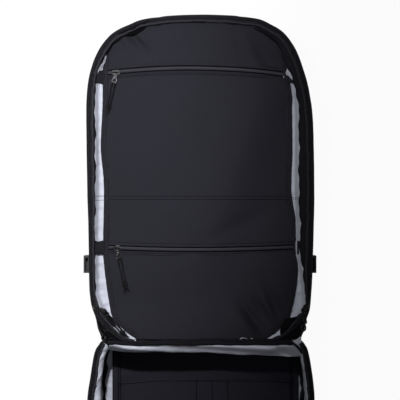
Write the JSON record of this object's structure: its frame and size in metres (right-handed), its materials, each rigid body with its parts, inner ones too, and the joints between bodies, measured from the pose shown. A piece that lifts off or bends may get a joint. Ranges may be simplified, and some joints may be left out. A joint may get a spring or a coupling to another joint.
{
  "type": "travel backpack",
  "caption": "Black clamshell travel backpack lying open on its back, with zipped inner pockets, pale lining, organiser panel, straps and side buckles",
  "frame": {"origin": "middle of the open pack's outer box, on the floor it lies on", "axes": "+Z up from the floor to the open rims, +Y from the fold towards the harness half's top, +X to the right looking down with +Y up"},
  "size_m": [0.351, 0.9856, 0.1103],
  "materials": {
    "shell_cloth": "woven",
    "panel_cloth": "woven",
    "lining_cloth": "woven",
    "binding_tape": "ribbed",
    "webbing": "webbing",
    "mesh_foam": "mesh",
    "zip_chain": "moulded",
    "zip_metal": "gunmetal",
    "pull_cord": "braided",
    "buckle_plastic": "satin",
    "stiffener": "matte"
  },
  "bodies": {
    "harness_half": {"back_panel_shell": "shell_cloth", "back_pads": "mesh_foam", "lumbar_pad": "mesh_foam", "strap_yoke": "webbing", "frame_sheet": "stiffener", "laptop_sleeve": "panel_cloth", "body_gusset": "shell_cloth", "body_zip_chain": "zip_chain", "body_rim_binding": "binding_tape", "laptop_zip_chain": "zip_chain", "main_lining": "lining_cloth", "pocket_backing": "panel_cloth", "panel_side_bindings": "binding_tape", "upper_pocket_face": "panel_cloth", "lower_pocket_face": "panel_cloth", "upper_zip_chain": "zip_chain", "lower_zip_chain": "zip_chain", "panel_tabs": "binding_tape", "top_handle": "webbing", "body_side_buckles": "buckle_plastic", "body_webbing": "webbing", "body_fold_band": "binding_tape", "fold_piping": "binding_tape"},
    "front_half": {"front_base": "shell_cloth", "front_gusset": "shell_cloth", "front_lining": "lining_cloth", "front_bound_seam": "binding_tape", "front_zip_chain": "zip_chain", "organizer_panel": "panel_cloth", "organizer_pocket": "panel_cloth", "front_pocket": "shell_cloth", "front_pocket_zip_chain": "zip_chain", "front_fold_lining": "lining_cloth", "front_side_buckles": "buckle_plastic", "front_side_webbing": "webbing"},
    "upper_slider": {"upper_zip_slider": "zip_metal"},
    "lower_slider": {"lower_zip_slider": "zip_metal"},
    "upper_pull": {"upper_pull_tab": "zip_metal", "upper_pull_cord": "pull_cord", "upper_pull_knot": "pull_cord"},
    "lower_pull": {"lower_pull_tab": "zip_metal", "lower_pull_cord": "pull_cord", "lower_pull_knot": "pull_cord"},
    "left_main_slider": {"main_slider_left": "zip_metal"},
    "right_main_slider": {"main_slider_right": "zip_metal"},
    "left_main_pull": {"main_left_pull_tab": "zip_metal", "main_left_pull_cord": "pull_cord", "main_left_pull_knot": "pull_cord"},
    "right_main_ring": {"main_right_pull_ring": "zip_metal"},
    "laptop_slider": {"laptop_zip_slider": "zip_metal"},
    "front_pocket_slider": {"front_pocket_zip_slider": "zip_metal"},
    "left_strap": {"left_strap_pad": "mesh_foam", "left_strap_webbing": "webbing", "left_strap_hardware": "buckle_plastic"},
    "right_strap": {"right_strap_pad": "mesh_foam", "right_strap_webbing": "webbing", "right_strap_hardware": "buckle_plastic"},
    "left_sternum": {"left_sternum_strap": "buckle_plastic"},
    "right_sternum": {"right_sternum_strap": "buckle_plastic"}
  },
  "joints": [
    {"name": "lid_fold", "type": "hinge", "parent": "harness_half", "child": "front_half", "pos_m": [0, -0.0028, 0.105], "axis": [-1, 0, 0], "range_deg": [0, 180]},
    {"name": "upper_zip_slide", "type": "slide", "parent": "harness_half", "child": "upper_slider", "axis": [1, 0, 0], "range_m": [0, 0.25]},
    {"name": "lower_zip_slide", "type": "slide", "parent": "harness_half", "child": "lower_slider", "axis": [1, 0, 0], "range_m": [0, 0.25]},
    {"name": "upper_pull_swing", "type": "hinge", "parent": "upper_slider", "child": "upper_pull", "pos_m": [-0.1275, 0.4007, 0.0887], "axis": [0, 0, 1], "range_deg": [-17, 47]},
    {"name": "lower_pull_swing", "type": "hinge", "parent": "lower_slider", "child": "lower_pull", "pos_m": [-0.125, 0.1347, 0.0887], "axis": [0, 0, 1], "range_deg": [-40, 18]},
    {"name": "left_main_zip_slide", "type": "slide", "parent": "harness_half", "child": "left_main_slider", "axis": [-0.021, 0.9998, 0], "range_m": [0, 0.325]},
    {"name": "right_main_zip_slide", "type": "slide", "parent": "harness_half", "child": "right_main_slider", "axis": [0.021, 0.9998, 0], "range_m": [0, 0.325]},
    {"name": "left_main_pull_swing", "type": "hinge", "parent": "left_main_slider", "child": "left_main_pull", "pos_m": [-0.14781, 0.0462, 0.0983], "axis": [0, 0, 1], "range_deg": [0, 70]},
    {"name": "right_main_ring_swing", "type": "hinge", "parent": "right_main_slider", "child": "right_main_ring", "pos_m": [0.16771, 0.0472, 0.105], "axis": [0, 0, 1], "range_deg": [0, 160]},
    {"name": "laptop_zip_slide", "type": "slide", "parent": "harness_half", "child": "laptop_slider", "axis": [-0.0186, 0.9998, 0], "range_m": [-0.035, 0.14]},
    {"name": "front_pocket_zip_slide", "type": "slide", "parent": "front_half", "child": "front_pocket_slider", "axis": [1, 0, 0], "range_m": [0, 0.176]},
    {"name": "left_strap_lift", "type": "hinge", "parent": "harness_half", "child": "left_strap", "pos_m": [-0.089, 0.3919, 0.0005], "axis": [1, 0, 0], "range_deg": [0, 90]},
    {"name": "right_strap_lift", "type": "hinge", "parent": "harness_half", "child": "right_strap", "pos_m": [0.089, 0.3919, 0.0005], "axis": [1, 0, 0], "range_deg": [0, 90]},
    {"name": "left_sternum_slide", "type": "slide", "parent": "left_strap", "child": "left_sternum", "axis": [0, 1, 0], "range_m": [-0.06, 0.06]},
    {"name": "right_sternum_slide", "type": "slide", "parent": "right_strap", "child": "right_sternum", "axis": [0, 1, 0], "range_m": [-0.06, 0.06]}
  ]
}
